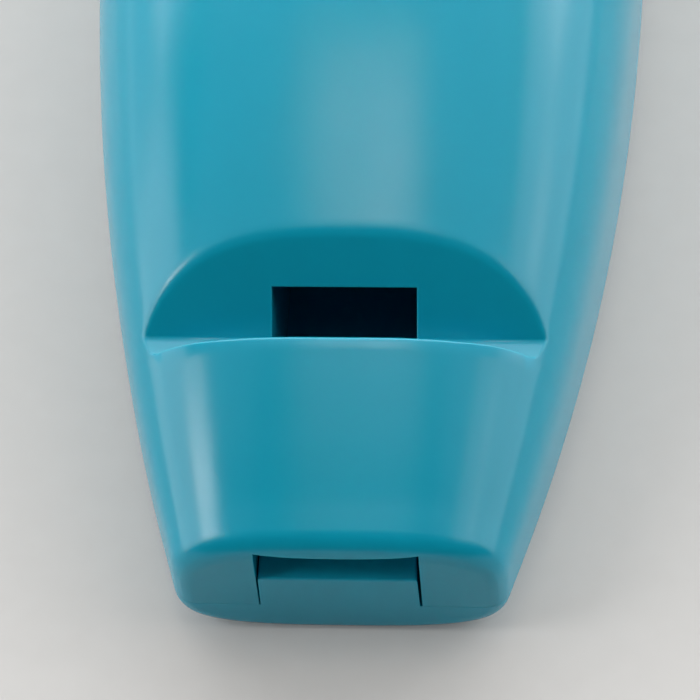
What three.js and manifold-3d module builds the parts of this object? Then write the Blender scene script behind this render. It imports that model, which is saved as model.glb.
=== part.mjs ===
// Dog whistle without a pea: a moulded upper shell, a base plate with the windway block, and a split ring.
// Millimetres, +Z up. Lengths along the whistle are measured from the mouth, which faces -Y.
import * as THREE from 'three';
import { mergeVertices } from 'three/addons/utils/BufferGeometryUtils.js';
import Module from 'manifold-3d';

const wasm = await Module();
wasm.setup();

// Outside of the body
const MOUTH_WIDTH = 11.2;
const MOUTH_HEIGHT = 5.35;
const MOUTH_EDGE_RADIUS = 0.7;
const BODY_WIDTH = 20.5;
const BODY_HEIGHT = 12.7;
const WIDEST_AT = 35.5;
const HIGHEST_AT = 33;
const WIDTH_TAPER_POWER = 2.5;
const HEIGHT_RISE_POWER = 1.92;
const BODY_LENGTH = 54;
const TAIL_LENGTH = 5;
const WIDEST_LEVEL = 1.97;
const CROWN_POWER = 2.75;
const SHOULDER_POWER = 4.45;
const UNDERSIDE_POWER = 3;
const UNDERSIDE_TRIM = 0.12;
const TAIL_PLAN_POWER = 4;
const TAIL_PLAN_FADE = 1.25;
const TAIL_TOP_POWER = 3;
const TAIL_TOP_FADE = 1.3;
const REST_POINT_AT = 24;

// Window in the top, with the ramp that ends in the labium
const ROOF_LENGTH = 6.7;
const WINDOW_GAP = 0.95;
const WINDOW_DEPTH = 1.38;
const RAMP_ANGLE = THREE.MathUtils.degToRad(43.4);
const LABIUM_BEHIND_FOOT = 1.31;

// Windway and sounding chamber
const SLOT_WIDTH = 5.6;
const EXIT_WIDTH = 5;
const LIP_THICKNESS = 0.6;
const ROOF_EDGE_THICKNESS = 0.65;
const WINDWAY_MOUTH_HEIGHT = 1.55;
const CHAMBER_LENGTH = 12;

// Walls, and the joint between shell and base plate
const WALL = 1.3;
const RIB_THICKNESS = 1.2;
const SOLID_MOUTH_LENGTH = 6;
const BASE_THICKNESS = 1.65;
const BASE_END_GAP = 0.15;
const BLOCK_SIDE_GAP = 0.15;
const RIM_HEIGHT = 1;
const RIM_THICKNESS = 0.9;
const RIM_GAP = 0.3;

// Lug at the tail, and the split ring through its eye
const LUG_THICKNESS = 3.8;
const LUG_RADIUS = 3.4;
const LUG_POWER = 5;
const EYE_BEHIND_BODY = 2.2;
const EYE_HEIGHT = 5.2;
const EYE_CLEARANCE = 0.35;
const RING_INSIDE_BODY = 0.25;
const WIRE_WIDTH = 1.2;
const WIRE_THICKNESS = 1.03;
const TURN_GAP = 0.14;
const JOGGLE_ANGLE = THREE.MathUtils.degToRad(50);
const JOGGLE_FROM_FAR_SIDE = THREE.MathUtils.degToRad(75);
const RING_FLOOR_GAP = 0.02;

// Facets
const AROUND = 48;
const CAVITY_AROUND = 40;
const WIRE_STEPS = 72;
const EYE_FACETS = 24;
const PAST = 1;

// Sizes worked out from the driving ones
const eyeAt = BODY_LENGTH + EYE_BEHIND_BODY;
const lugTop = EYE_HEIGHT + LUG_RADIUS;
const lugBottom = EYE_HEIGHT - LUG_RADIUS;
const turnPitch = WIRE_THICKNESS + TURN_GAP;
const ringDepth = turnPitch + WIRE_THICKNESS;
const eyeRadius = Math.hypot(WIRE_WIDTH, ringDepth) / 2 + EYE_CLEARANCE;
const ringRadius = (BODY_WIDTH - WIRE_WIDTH) / 2 - RING_INSIDE_BODY;
const roofTop = topHeight(ROOF_LENGTH);
const windowFloor = roofTop - WINDOW_DEPTH;
const rampFootAt = ROOF_LENGTH + WINDOW_GAP;
const labiumHeight = windowFloor + LABIUM_BEHIND_FOOT * Math.tan(RAMP_ANGLE);
const chamberEnd = ROOF_LENGTH + CHAMBER_LENGTH;
const baseLength = BODY_LENGTH - TAIL_LENGTH;
const cavityEnd = baseLength - WALL;

// A curve from 0 to 1 that is level at both ends
function ease(value) {
  const t = THREE.MathUtils.clamp(value, 0, 1);
  return t * t * (3 - 2 * t);
}

// How far the rounded edge of the mouth draws the outline in
function mouthInset(y) {
  const left = Math.max(MOUTH_EDGE_RADIUS - y, 0);
  return MOUTH_EDGE_RADIUS - Math.sqrt(MOUTH_EDGE_RADIUS ** 2 - left ** 2);
}

// A size that grows from the mouth to its fullest place and fades into the lug behind it
function along(y, atMouth, fullest, fullestAt, risePower, atLug, tailPower, tailFade) {
  if (y <= fullestAt) {
    return fullest - (fullest - atMouth) * (1 - y / fullestAt) ** risePower;
  }
  const t = Math.min((y - fullestAt) / (BODY_LENGTH - fullestAt), 1);
  return atLug + (fullest - atLug) * (1 - t ** tailPower) ** tailFade;
}

function halfWidth(y) {
  return along(y, MOUTH_WIDTH / 2, BODY_WIDTH / 2, WIDEST_AT, WIDTH_TAPER_POWER, LUG_THICKNESS / 2,
    TAIL_PLAN_POWER, TAIL_PLAN_FADE);
}

function topHeight(y) {
  return along(y, MOUTH_HEIGHT, BODY_HEIGHT, HIGHEST_AT, HEIGHT_RISE_POWER, lugTop,
    TAIL_TOP_POWER, TAIL_TOP_FADE);
}

// 0 on the body, 1 on the lug
function lugShare(y) {
  return ease((y - baseLength) / (BODY_LENGTH - baseLength));
}

// Section of the outside at y: half width, levels of the bottom, widest place and top, and the corner powers
function outsideSection(y) {
  const lug = lugShare(y);
  const inset = mouthInset(y);
  const behindEye = Math.max(y - eyeAt, 0);
  const drop = LUG_RADIUS - Math.sqrt(LUG_RADIUS ** 2 - behindEye ** 2);
  return {
    half: halfWidth(y) - inset,
    bottom: THREE.MathUtils.lerp(-UNDERSIDE_TRIM, lugBottom, lug) + inset + drop,
    widest: THREE.MathUtils.lerp(WIDEST_LEVEL, EYE_HEIGHT, lug),
    top: topHeight(y) - inset - drop,
    crownPower: THREE.MathUtils.lerp(CROWN_POWER, LUG_POWER, lug),
    shoulderPower: THREE.MathUtils.lerp(SHOULDER_POWER, LUG_POWER, lug),
    lowerPower: THREE.MathUtils.lerp(UNDERSIDE_POWER, LUG_POWER, lug),
  };
}

// Section of the hollow at y, open below the seam
function hollowSection(y) {
  const outside = outsideSection(y);
  return {
    half: outside.half - WALL,
    bottom: -PAST,
    widest: outside.widest,
    top: outside.top - WALL,
    crownPower: outside.crownPower,
    shoulderPower: outside.shoulderPower,
    lowerPower: 2 * LUG_POWER,
  };
}

function onSection(section, angle) {
  const across = Math.cos(angle);
  const up = Math.sin(angle);
  const upper = up >= 0;
  const reach = (upper ? section.top : section.bottom) - section.widest;
  const acrossPower = 2 / (upper ? section.crownPower : section.lowerPower);
  const upPower = 2 / (upper ? section.shoulderPower : section.lowerPower);
  return {
    x: section.half * Math.sign(across) * Math.abs(across) ** acrossPower,
    z: section.widest + reach * Math.abs(up) ** upPower,
  };
}

// A cylinder whose rings are moved onto the sections at the given stations along Y
function loft(sectionAt, stations, around) {
  const steps = stations.length - 1;
  const geometry = new THREE.CylinderGeometry(1, 1, 1, around, steps);
  const position = geometry.getAttribute('position');
  for (let i = 0; i < position.count; i += 1) {
    const y = stations[Math.round((position.getY(i) + 0.5) * steps)];
    const section = sectionAt(y);
    const onRing = Math.hypot(position.getX(i), position.getZ(i)) > 0.5;
    const point = onSection(section, Math.atan2(position.getZ(i), position.getX(i)));
    position.setXYZ(i, onRing ? point.x : 0, y, onRing ? point.z : section.widest);
  }
  return geometry;
}

// A list of evenly spaced values with both ends
function spread(from, to, steps) {
  return Array.from({ length: steps + 1 }, (_, i) => from + (to - from) * i / steps);
}

// A copy whose faces share their corners
function joined(geometry) {
  const bare = geometry.clone();
  bare.deleteAttribute('normal');
  bare.deleteAttribute('uv');
  return mergeVertices(bare);
}

function solid(geometry) {
  const merged = joined(geometry);
  return new wasm.Manifold(new wasm.Mesh({
    numProp: 3,
    vertProperties: new Float32Array(merged.getAttribute('position').array),
    triVerts: new Uint32Array(merged.getIndex().array),
  }));
}

function geometryOf(manifold) {
  const mesh = manifold.getMesh();
  const geometry = new THREE.BufferGeometry();
  geometry.setAttribute('position', new THREE.BufferAttribute(new Float32Array(mesh.vertProperties), 3));
  geometry.setIndex(new THREE.BufferAttribute(new Uint32Array(mesh.triVerts), 1));
  geometry.computeVertexNormals();
  return geometry;
}

// A prism with an outline in Y and Z, as wide as given across X
function prismAcross(outline, width) {
  const shape = new THREE.Shape(outline.map(([y, z]) => new THREE.Vector2(y, z)));
  const geometry = new THREE.ExtrudeGeometry(shape, { depth: width, bevelEnabled: false });
  geometry.translate(0, 0, -width / 2);
  const turn = new THREE.Matrix4().makeBasis(
    new THREE.Vector3(0, 1, 0), new THREE.Vector3(0, 0, 1), new THREE.Vector3(1, 0, 0));
  return solid(geometry.applyMatrix4(turn));
}

// A prism with an outline in X and Y, standing between two levels
function prismUp(outline, bottom, top) {
  const shape = new THREE.Shape(outline.map(([x, y]) => new THREE.Vector2(x, y)));
  const geometry = new THREE.ExtrudeGeometry(shape, { depth: top - bottom, bevelEnabled: false });
  return solid(geometry.translate(0, 0, bottom));
}

function box(width, fromY, toY, bottom, top) {
  return prismUp([[-width / 2, fromY], [width / 2, fromY], [width / 2, toY], [-width / 2, toY]], bottom, top);
}

// The window cut, made larger by a wall on its floor, front and ramp
function windowPrism(wall) {
  const floor = windowFloor - wall;
  const foot = rampFootAt + wall * Math.tan(RAMP_ANGLE / 2);
  const height = BODY_HEIGHT;
  const outline = [
    [ROOF_LENGTH - wall, floor],
    [foot, floor],
    [foot + height / Math.tan(RAMP_ANGLE), floor + height],
    [ROOF_LENGTH - wall, floor + height],
  ];
  return prismAcross(outline, BODY_WIDTH + 2 * PAST);
}

// Plan of the windway, narrower on each side by a gap and longer past both ends by a reach
function windwayPlan(gap, reach) {
  const slope = (SLOT_WIDTH - EXIT_WIDTH) / 2 / ROOF_LENGTH;
  const front = SLOT_WIDTH / 2 - gap + slope * reach;
  const rear = EXIT_WIDTH / 2 - gap - slope * reach;
  const end = ROOF_LENGTH + reach;
  return [[-front, -reach], [front, -reach], [rear, end], [-rear, end]];
}

// Levels of the windway's roof and floor at the mouth and at its exit
const roofAtMouth = MOUTH_HEIGHT - LIP_THICKNESS;
const roofAtExit = roofTop - ROOF_EDGE_THICKNESS;
const floorAtMouth = roofAtMouth - WINDWAY_MOUTH_HEIGHT;
const floorAtExit = windowFloor;

function windwayPassage() {
  const fall = (roofAtExit - roofAtMouth) / ROOF_LENGTH * PAST;
  const side = prismAcross([
    [-PAST, -PAST],
    [ROOF_LENGTH + PAST, -PAST],
    [ROOF_LENGTH + PAST, roofAtExit],
    [ROOF_LENGTH, roofAtExit],
    [-PAST, roofAtMouth - fall],
  ], BODY_WIDTH);
  return side.intersect(prismUp(windwayPlan(0, PAST), -PAST, BODY_HEIGHT));
}

function windwayBlock() {
  const side = prismAcross([
    [0, BASE_THICKNESS - PAST],
    [ROOF_LENGTH, BASE_THICKNESS - PAST],
    [ROOF_LENGTH, floorAtExit],
    [0, floorAtMouth],
  ], BODY_WIDTH);
  return side.intersect(prismUp(windwayPlan(BLOCK_SIDE_GAP, 0), 0, BODY_HEIGHT));
}

function outside() {
  const mouthStations = [1, 0.75, 0.5, 0.25].map((t) => MOUTH_EDGE_RADIUS * (1 - Math.sin(t * Math.PI / 2)));
  const bodyStations = spread(MOUTH_EDGE_RADIUS, baseLength, 26);
  const tailStations = spread(baseLength, BODY_LENGTH, 8).slice(1);
  const lugStations = spread(0, 0.93, 6).map((t) => eyeAt + LUG_RADIUS * Math.sin(t * Math.PI / 2));
  const stations = [...mouthStations, ...bodyStations, ...tailStations, ...lugStations];
  const aboveFloor = box(BODY_WIDTH + 2 * PAST, -PAST, eyeAt + LUG_RADIUS + PAST, 0, BODY_HEIGHT + PAST);
  return solid(loft(outsideSection, stations, AROUND)).intersect(aboveFloor);
}

// The space inside the shell's walls, beside and behind the core that holds the windway and the chamber
function hollow() {
  const stations = spread(SOLID_MOUTH_LENGTH, cavityEnd, 22);
  const coreWidth = EXIT_WIDTH + 2 * RIB_THICKNESS;
  const core = box(coreWidth, 0, chamberEnd + RIB_THICKNESS, -2 * PAST, BODY_HEIGHT);
  return solid(loft(hollowSection, stations, CAVITY_AROUND)).subtract(windowPrism(WALL)).subtract(core);
}

function chamber() {
  return box(EXIT_WIDTH, ROOF_LENGTH, chamberEnd, -PAST, labiumHeight);
}

function eyeHole() {
  const geometry = new THREE.CylinderGeometry(eyeRadius, eyeRadius, LUG_THICKNESS + 2 * PAST, EYE_FACETS);
  return solid(geometry.rotateZ(Math.PI / 2).translate(0, eyeAt, EYE_HEIGHT));
}

function upperShell() {
  const belowSeam = box(BODY_WIDTH + 2 * PAST, -PAST, baseLength + BASE_END_GAP, -PAST, BASE_THICKNESS);
  return outside()
    .subtract(belowSeam)
    .subtract(hollow())
    .subtract(windowPrism(0))
    .subtract(windwayPassage())
    .subtract(chamber())
    .subtract(eyeHole());
}

// The rim stands inside the shell's hollow, a gap away from its walls and from the core
function locatingRim() {
  const outline = (gap) => {
    const ys = spread(SOLID_MOUTH_LENGTH + gap, cavityEnd - gap, 24);
    const right = ys.map((y) => [halfWidth(y) - WALL - gap, y]);
    const left = ys.map((y) => [-(halfWidth(y) - WALL - gap), y]).reverse();
    return [...right, ...left];
  };
  const coreWidth = EXIT_WIDTH + 2 * RIB_THICKNESS + 2 * RIM_GAP;
  const top = BASE_THICKNESS + RIM_HEIGHT;
  const core = box(coreWidth, 0, chamberEnd + RIB_THICKNESS + RIM_GAP, 0, BODY_HEIGHT);
  return prismUp(outline(RIM_GAP), BASE_THICKNESS / 2, top)
    .subtract(prismUp(outline(RIM_GAP + RIM_THICKNESS), 0, BODY_HEIGHT))
    .subtract(core);
}

function basePlate() {
  const slab = box(BODY_WIDTH + 2 * PAST, -PAST, baseLength, -PAST, BASE_THICKNESS);
  return outside().intersect(slab).add(windwayBlock()).add(locatingRim());
}

// Two turns of flat wire that change level once, with the wire's ends on either side of that joggle
function splitRing() {
  const geometry = new THREE.BoxGeometry(1, 1, 1, WIRE_STEPS, 1, 1);
  const position = geometry.getAttribute('position');
  const start = JOGGLE_ANGLE / 2;
  const finish = 4 * Math.PI - JOGGLE_ANGLE / 2;
  for (let i = 0; i < position.count; i += 1) {
    const angle = THREE.MathUtils.lerp(start, finish, position.getX(i) + 0.5);
    const level = turnPitch * (ease((angle - 2 * Math.PI) / JOGGLE_ANGLE + 0.5) - 0.5);
    const radius = ringRadius + WIRE_WIDTH * position.getY(i);
    const z = level + WIRE_THICKNESS * position.getZ(i);
    position.setXYZ(i, radius * Math.sin(angle), radius * Math.cos(angle), z);
  }
  return geometryOf(solid(geometry));
}

const shellPlastic = new THREE.MeshStandardMaterial({ color: 0x2f9bb4, roughness: 0.38, metalness: 0 });
const basePlastic = new THREE.MeshStandardMaterial({ color: 0x2f9bb4, roughness: 0.4, metalness: 0 });
const ringSteel = new THREE.MeshStandardMaterial({ color: 0xb9bcbf, roughness: 0.25, metalness: 1 });

function named(name, geometry, material) {
  const mesh = new THREE.Mesh(geometry, material);
  mesh.name = name;
  return mesh;
}

// The ring hangs from the eye and lies back until its far side meets the floor
const ringReach = 2 * ringRadius + WIRE_WIDTH / 2;
const ringDroop = Math.asin((EYE_HEIGHT - RING_FLOOR_GAP) / Math.hypot(ringReach, ringDepth / 2))
  - Math.atan2(ringDepth / 2, ringReach);
const ring = named('split_ring', splitRing(), ringSteel);
ring.position.y = ringRadius;
ring.rotation.z = JOGGLE_FROM_FAR_SIDE;
const swing = new THREE.Group();
swing.add(ring);
swing.position.set(0, eyeAt, EYE_HEIGHT);
swing.rotation.x = -ringDroop;

const whistle = new THREE.Group();
whistle.add(named('upper_shell', geometryOf(upperShell()), shellPlastic));
whistle.add(named('base_plate', geometryOf(basePlate()), basePlastic));
whistle.add(swing);
whistle.position.y = -REST_POINT_AT;

export default whistle;
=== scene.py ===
# %% [markdown]
# A dog whistle without a pea, seen close from above its mouth end. Three pieces make it: the upper shell,
# the base plate with the tongue that forms the windway, and a split ring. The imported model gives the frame;
# this lesson dresses it with finer meshes and finishes, and nothing in the frame is moved.

# %% The frame
import math

import bmesh
import bpy
import numpy as np
from mathutils import Matrix, Vector


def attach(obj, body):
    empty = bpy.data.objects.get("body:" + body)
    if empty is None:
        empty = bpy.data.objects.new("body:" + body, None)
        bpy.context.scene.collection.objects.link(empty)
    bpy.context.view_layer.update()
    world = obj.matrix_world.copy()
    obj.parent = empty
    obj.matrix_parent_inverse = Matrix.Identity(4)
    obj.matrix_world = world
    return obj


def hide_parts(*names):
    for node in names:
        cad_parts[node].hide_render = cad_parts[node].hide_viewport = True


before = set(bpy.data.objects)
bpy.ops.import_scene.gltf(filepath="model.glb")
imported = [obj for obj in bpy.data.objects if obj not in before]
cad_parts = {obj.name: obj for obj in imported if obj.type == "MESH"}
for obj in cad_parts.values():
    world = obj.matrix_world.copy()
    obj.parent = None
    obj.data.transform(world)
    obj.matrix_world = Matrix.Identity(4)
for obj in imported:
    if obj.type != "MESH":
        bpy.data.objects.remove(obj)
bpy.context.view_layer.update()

# %% [markdown]
# The whistle is easiest to think of in millimetres from its mouth, which is how a drawing of it would be
# dimensioned. One matrix carries that drawing into the frame: metres, with the origin under the body.

# %% From the drawing to the frame
MM = 0.001
REST_POINT_AT = 24.0
TO_FRAME = Matrix.Scale(MM, 4) @ Matrix.Translation((0.0, -REST_POINT_AT, 0.0))
print("the mouth is at y =", round((TO_FRAME @ Vector((0, 0, 0))).y, 4))

# %% [markdown]
# The camera comes first, because it decides how much detail each place needs. It looks down on the mouth
# end from the front through a long lens, a little to the right and slightly rolled. A matrix made of its
# own right, up and back directions says this without any guessing at Euler angles.

# %% The camera
LOOKS_AT = Vector((0.257, 6.887, 7.0))
CAMERA_AZIMUTH = math.radians(7.076)
CAMERA_ELEVATION = math.radians(54.092)
CAMERA_ROLL = math.radians(-5.248)
CAMERA_DISTANCE = 138.822
FOCAL_PIXELS = 4057.654
IMAGE_PIXELS = 700
SENSOR = 36.0
NEAR_CLIP = 0.01

back = Vector((
    math.sin(CAMERA_AZIMUTH) * math.cos(CAMERA_ELEVATION),
    -math.cos(CAMERA_AZIMUTH) * math.cos(CAMERA_ELEVATION),
    math.sin(CAMERA_ELEVATION),
))
level = Vector((math.cos(CAMERA_AZIMUTH), math.sin(CAMERA_AZIMUTH), 0.0))
right = level * math.cos(CAMERA_ROLL) + back.cross(level) * math.sin(CAMERA_ROLL)
camera_data = bpy.data.cameras.new("camera")
camera_data.sensor_width = SENSOR
camera_data.lens = FOCAL_PIXELS / IMAGE_PIXELS * SENSOR
camera_data.clip_start = NEAR_CLIP
camera = bpy.data.objects.new("camera", camera_data)
bpy.context.scene.collection.objects.link(camera)
turned = Matrix((right, back.cross(right), back)).transposed().to_4x4()
camera.matrix_world = Matrix.Translation(TO_FRAME @ (LOOKS_AT + back * CAMERA_DISTANCE)) @ turned
bpy.context.scene.camera = camera
print("lens", round(camera_data.lens, 1), "mm")

# %% [markdown]
# Node trees are built in code all through this lesson. Two small helpers keep that readable: one adds a
# node and fills its sockets by name, the other adds a Math node, and the commonest sums get short names of
# their own. A number is typed into a socket, and a socket of another node is linked to it.

# %% Helpers for node trees
def plug(tree, socket, value):
    if isinstance(value, bpy.types.NodeSocket):
        tree.links.new(value, socket)
    else:
        socket.default_value = value


def add_node(tree, kind, inputs=None, **settings):
    node = tree.nodes.new(kind)
    for name, value in settings.items():
        setattr(node, name, value)
    for name, value in (inputs or {}).items():
        plug(tree, node.inputs[name], value)
    return node


def calc(tree, operation, *values):
    node = add_node(tree, "ShaderNodeMath", operation=operation)
    for socket, value in zip(node.inputs, values):
        plug(tree, socket, value)
    return node.outputs[0]


def short_sum(operation):
    return lambda tree, *values: calc(tree, operation, *values)


plus, minus, times, over, raised = map(short_sum, ("ADD", "SUBTRACT", "MULTIPLY", "DIVIDE", "POWER"))


# %% [markdown]
# A geometry tree starts with named inputs for its sizes, and ends by making its instances real and giving
# them their material. A modifier keeps its inputs under the sockets' identifiers, so the names are looked
# up there.

# %% Helpers for geometry trees
def new_geometry_tree(name, sizes):
    tree = bpy.data.node_groups.new(name, "GeometryNodeTree")
    tree.interface.new_socket("Geometry", in_out="INPUT", socket_type="NodeSocketGeometry")
    for label, value in sizes.items():
        socket = tree.interface.new_socket(label, in_out="INPUT", socket_type="NodeSocketFloat")
        socket.default_value = value
    tree.interface.new_socket("Material", in_out="INPUT", socket_type="NodeSocketMaterial")
    tree.interface.new_socket("Geometry", in_out="OUTPUT", socket_type="NodeSocketGeometry")
    return tree, add_node(tree, "NodeGroupInput").outputs


def close_tree(tree, geometry, material):
    realized = add_node(tree, "GeometryNodeRealizeInstances", {"Geometry": geometry}).outputs[0]
    painted = add_node(tree, "GeometryNodeSetMaterial", {"Geometry": realized, "Material": material})
    plug(tree, add_node(tree, "NodeGroupOutput").inputs[0], painted.outputs[0])
    print(tree.name, "has", len(tree.nodes), "nodes")


def add_tree(thing, tree, sizes, material=None):
    modifier = thing.modifiers.new(tree.name, "NODES")
    modifier.node_group = tree
    inputs = [item for item in tree.interface.items_tree if item.in_out == "INPUT"]
    for item in inputs:
        if item.name in sizes:
            modifier[item.identifier] = sizes[item.name]
        elif item.name == "Material" and material:
            modifier[item.identifier] = material


# %% [markdown]
# The finishes come before the pieces, so that each tree can put its own material on what it makes. What
# several finishes share is a node group: it gives masks and heights that vary over the surface, and the
# shader itself stays in the material. Everything reads Object coordinates, which here are metres in the
# frame.

# %% Shared effects: a group and its sockets
def new_effect(name, sizes, outputs):
    group = bpy.data.node_groups.new(name, "ShaderNodeTree")
    group.interface.new_socket("Place", in_out="INPUT", socket_type="NodeSocketVector")
    for label, value in sizes.items():
        socket = group.interface.new_socket(label, in_out="INPUT", socket_type="NodeSocketFloat")
        socket.default_value = value
    for label in outputs:
        group.interface.new_socket(label, in_out="OUTPUT", socket_type="NodeSocketFloat")
    return group, add_node(group, "NodeGroupInput").outputs


def close_effect(group, *values):
    last = add_node(group, "NodeGroupOutput")
    for socket, value in zip(last.inputs, values):
        plug(group, socket, value)
    print("effect", group.name, "has", len(group.nodes), "nodes")


def noise(tree, place, scale, detail=2.0, distortion=0.0):
    return add_node(tree, "ShaderNodeTexNoise", {
        "Vector": place, "Scale": scale, "Detail": detail, "Distortion": distortion}).outputs["Fac"]


def fade(tree, value, start, end, low=0.0, high=1.0):
    return add_node(tree, "ShaderNodeMapRange", {
        "Value": value, "From Min": start, "From Max": end, "To Min": low, "To Max": high}).outputs[0]


# %% [markdown]
# The first effect is the skin of a moulding. A polished tool leaves a slow orange peel, a millimetre or
# two from crest to crest, and on top of it a grain ten times finer. The second is the pigment, which
# streams with the molten plastic from the gate at the tail and leaves faint long clouds.

# %% Effects: moulded skin and pigment
GRAIN_HEIGHT = 0.03
GLOSS_FROM_GRAIN, GLOSS_FROM_PEEL = 0.6, 0.4
FLOW_STRETCH = (1.0, 0.3, 1.0)
NOISE_RANGE = (0.3, 0.7)

moulded_skin, given = new_effect("moulded_skin", {"Peel": 620.0, "Grain": 7000.0}, ("Height", "Gloss"))
peel = noise(moulded_skin, given["Place"], given["Peel"], detail=1.0)
grain = noise(moulded_skin, given["Place"], given["Grain"])
height = plus(moulded_skin, peel, times(moulded_skin, grain, GRAIN_HEIGHT))
gloss = plus(
    moulded_skin, times(moulded_skin, grain, GLOSS_FROM_GRAIN), times(moulded_skin, peel, GLOSS_FROM_PEEL))
close_effect(moulded_skin, height, gloss)

pigment_flow, given = new_effect("pigment_flow", {"Clouds": 150.0}, ("Share",))
stretched = add_node(pigment_flow, "ShaderNodeMapping", {"Vector": given["Place"], "Scale": FLOW_STRETCH})
clouds = noise(pigment_flow, stretched.outputs[0], given["Clouds"], detail=3.0, distortion=0.6)
close_effect(pigment_flow, fade(pigment_flow, clouds, *NOISE_RANGE))

# %% [markdown]
# Handling leaves hairline scratches. A noise that is stretched a lot in one direction breaks into thin
# lines, and only its highest crests are kept. Two such layers at different angles look like wear and not
# like brushing.

# %% Effect: hairline scratches
SCRATCH_LAYERS = ((23.0, 0.0), (-41.0, 0.07))
SCRATCH_STRETCH = (0.035, 1.0, 0.2)

hairlines, given = new_effect("hairlines", {"Fineness": 5200.0, "Start": 0.71, "End": 0.82}, ("Mask",))
layers = []
for degrees, shift in SCRATCH_LAYERS:
    turned_place = add_node(hairlines, "ShaderNodeMapping", {
        "Vector": given["Place"],
        "Rotation": (0.0, 0.0, math.radians(degrees)),
        "Location": (shift, shift, 0.0),
    })
    drawn = add_node(hairlines, "ShaderNodeMapping", {
        "Vector": turned_place.outputs[0], "Scale": SCRATCH_STRETCH})
    crests = noise(hairlines, drawn.outputs[0], given["Fineness"], detail=1.0)
    layers.append(fade(hairlines, crests, given["Start"], given["End"]))
close_effect(hairlines, calc(hairlines, "MAXIMUM", *layers))

# %% [markdown]
# A material takes its effects from those groups and keeps the shader to itself. A patch of colour usually
# lies between two tones, so one helper blends them.

# %% Helpers for materials
def use_effect(tree, group, place):
    node = add_node(tree, "ShaderNodeGroup", node_tree=group)
    plug(tree, node.inputs["Place"], place)
    return node.outputs


def new_material(name):
    material = bpy.data.materials.new(name)
    material.use_nodes = True
    tree = material.node_tree
    return material, tree, tree.nodes["Principled BSDF"].inputs


def blended(tree, share, one, two):
    # a Mix node has its two colours in sockets 6 and 7, and their blend in output 2
    return add_node(tree, "ShaderNodeMix", {
        "Factor": share, 6: (*one, 1.0), 7: (*two, 1.0)}, data_type="RGBA").outputs[2]


# %% [markdown]
# The plastic is a dense turquoise, between satin and gloss. The shell and the base plate come from two
# tools, so they share one recipe with slightly different numbers. The base plate's turquoise is also a
# little lighter than the shell's: that is painted light, which makes up for the shade it lies in so close
# to the floor. The pigment moves the colour a little, the skin moves the roughness, and the hairlines are
# both rougher and a hair deeper than what is round them. Some of the light sinks in and comes out a
# fraction of a millimetre away, so half of the colour is subsurface.

# %% Finish: moulded turquoise plastic
PEEL_DEPTH = 0.000006
SCRATCH_DEPTH = -0.015
DEEPER = 0.93
ROUGHNESS_SPREAD = 0.03
SCRATCH_ROUGHNESS = 0.02
PLASTIC_IOR = 1.5
GLOSS_LEVEL = 0.42
TRANSLUCENCE = 0.5
LIGHT_REACH = 0.0003
REACH_BY_COLOUR = (0.2, 1.0, 1.0)
SHELL_TURQUOISE, SHELL_ROUGHNESS = (0.002, 0.31, 0.445), 0.22
# the base plate's turquoise is a little lighter than the shell's: painted light against the shade it gets so
# close to the floor
BASE_TURQUOISE_WITH_PAINTED_LIGHT, BASE_ROUGHNESS = (0.002, 0.322, 0.465), 0.225


def moulded_plastic(name, colour, roughness):
    material, tree, shader = new_material(name)
    place = add_node(tree, "ShaderNodeTexCoord").outputs["Object"]
    skin = use_effect(tree, moulded_skin, place)
    scratches = use_effect(tree, hairlines, place)["Mask"]
    pigment = use_effect(tree, pigment_flow, place)["Share"]
    plug(tree, shader["Base Color"], blended(tree, pigment, [value * DEEPER for value in colour], colour))
    rough = fade(
        tree, skin["Gloss"], *NOISE_RANGE, roughness - ROUGHNESS_SPREAD, roughness + ROUGHNESS_SPREAD)
    plug(tree, shader["Roughness"], calc(tree, "MULTIPLY_ADD", scratches, SCRATCH_ROUGHNESS, rough))
    height = calc(tree, "MULTIPLY_ADD", scratches, SCRATCH_DEPTH, skin["Height"])
    bump = add_node(tree, "ShaderNodeBump", {"Height": height, "Distance": PEEL_DEPTH})
    plug(tree, shader["Normal"], bump.outputs[0])
    shader["IOR"].default_value = PLASTIC_IOR
    shader["Specular IOR Level"].default_value = GLOSS_LEVEL
    shader["Subsurface Weight"].default_value = TRANSLUCENCE
    shader["Subsurface Radius"].default_value = REACH_BY_COLOUR
    shader["Subsurface Scale"].default_value = LIGHT_REACH
    return material


shell_plastic = moulded_plastic("turquoise_shell", SHELL_TURQUOISE, SHELL_ROUGHNESS)
base_plastic = moulded_plastic("turquoise_base", BASE_TURQUOISE_WITH_PAINTED_LIGHT, BASE_ROUGHNESS)
print("plastics:", shell_plastic.name, base_plastic.name)

# %% [markdown]
# The ring is nickel-plated spring wire. It is drawn through a die, so its fine lines run along the wire.
# The ring's tree leaves two attributes on its mesh for this: how far along the wire a point is, and where
# it lies in the wire's section. Both are in millimetres.

# %% Finish: drawn and plated wire
WIRE_LINES = 16.0
WIRE_LINE_DEPTH = 0.000004
WIRE_STRETCH = 0.05
LINE_ROUGHNESS = (0.16, 0.26)
PLATING_CLOUDS = 420.0
CLOUD_RANGE = (0.4, 0.8)
CLOUD_ROUGHNESS = (0.0, 0.08)
DULL_PLATING, BRIGHT_PLATING = (0.56, 0.55, 0.52), (0.70, 0.69, 0.67)

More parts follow.
